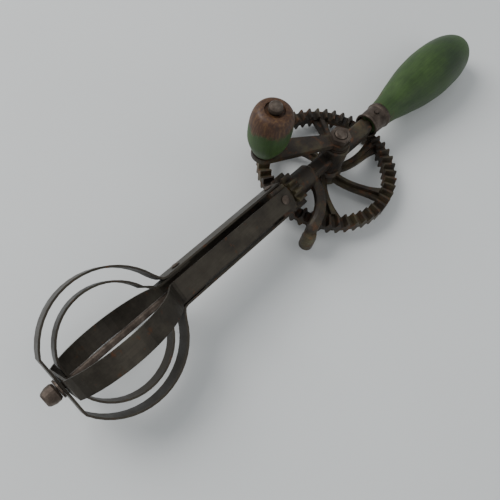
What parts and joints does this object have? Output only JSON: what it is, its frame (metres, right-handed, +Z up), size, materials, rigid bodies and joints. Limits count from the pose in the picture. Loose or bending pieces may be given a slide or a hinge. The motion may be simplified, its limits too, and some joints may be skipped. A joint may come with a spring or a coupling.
{
  "type": "egg beater",
  "caption": "Hand-cranked rotary egg beater with a toothed drive wheel, pinion, strip-metal cage and green painted wooden handle and knob.",
  "frame": {"origin": "on the ground plane under the middle of the beater's bounding box", "axes": "+X from the cage towards the handle, +Z up, the beater lying with its wheel up"},
  "size_m": [0.2931, 0.072, 0.0664],
  "materials": {
    "green_wood": "dark green paint over turned wood, worn through at the edges",
    "cast_iron": "old dark brown cast iron with rust and dust",
    "strip_steel": "dull tarnished strip steel",
    "fittings": "dull brown steel"
  },
  "bodies": {
    "frame": {"frame_casting": "cast_iron", "handle": "green_wood", "handle_ferrule": "fittings", "handle_pin": "fittings", "axle_washer_front": "fittings", "axle_washer_back": "fittings", "centre_spindle": "fittings", "tip_washer": "fittings", "tip_foot": "fittings", "pinion_washer": "fittings"},
    "crank": {"drive_wheel": "cast_iron", "wheel_axle": "fittings", "axle_nut": "fittings", "crank_arm": "cast_iron", "crank_pin": "fittings", "knob_washer": "fittings"},
    "knob": {"knob": "green_wood"},
    "dasher": {"pinion": "cast_iron", "outer_loop": "strip_steel", "cross_loop": "strip_steel", "inner_loop": "strip_steel", "strip_rivet_1": "fittings", "strip_rivet_2": "fittings", "strip_rivet_3": "fittings", "strip_rivet_4": "fittings", "inner_rivet_1": "fittings", "inner_rivet_2": "fittings"}
  },
  "joints": [
    {"name": "crank_spin", "type": "hinge", "parent": "frame", "child": "crank", "pos_m": [0.02499, 0, 0.00827], "axis": [0.0634, 0, 0.998], "continuous": true},
    {"name": "dasher_spin", "type": "hinge", "parent": "frame", "child": "dasher", "pos_m": [-0.00734, 0, 0.02155], "axis": [0.998, 0, -0.0634], "continuous": true},
    {"name": "knob_spin", "type": "hinge", "parent": "crank", "child": "knob", "pos_m": [-0.00626, 0.019, 0.03551], "axis": [0.0634, 0, 0.998], "continuous": true}
  ],
  "couplings": [
    {"joint": "dasher_spin", "follows": "crank_spin", "ratio": -4}
  ]
}
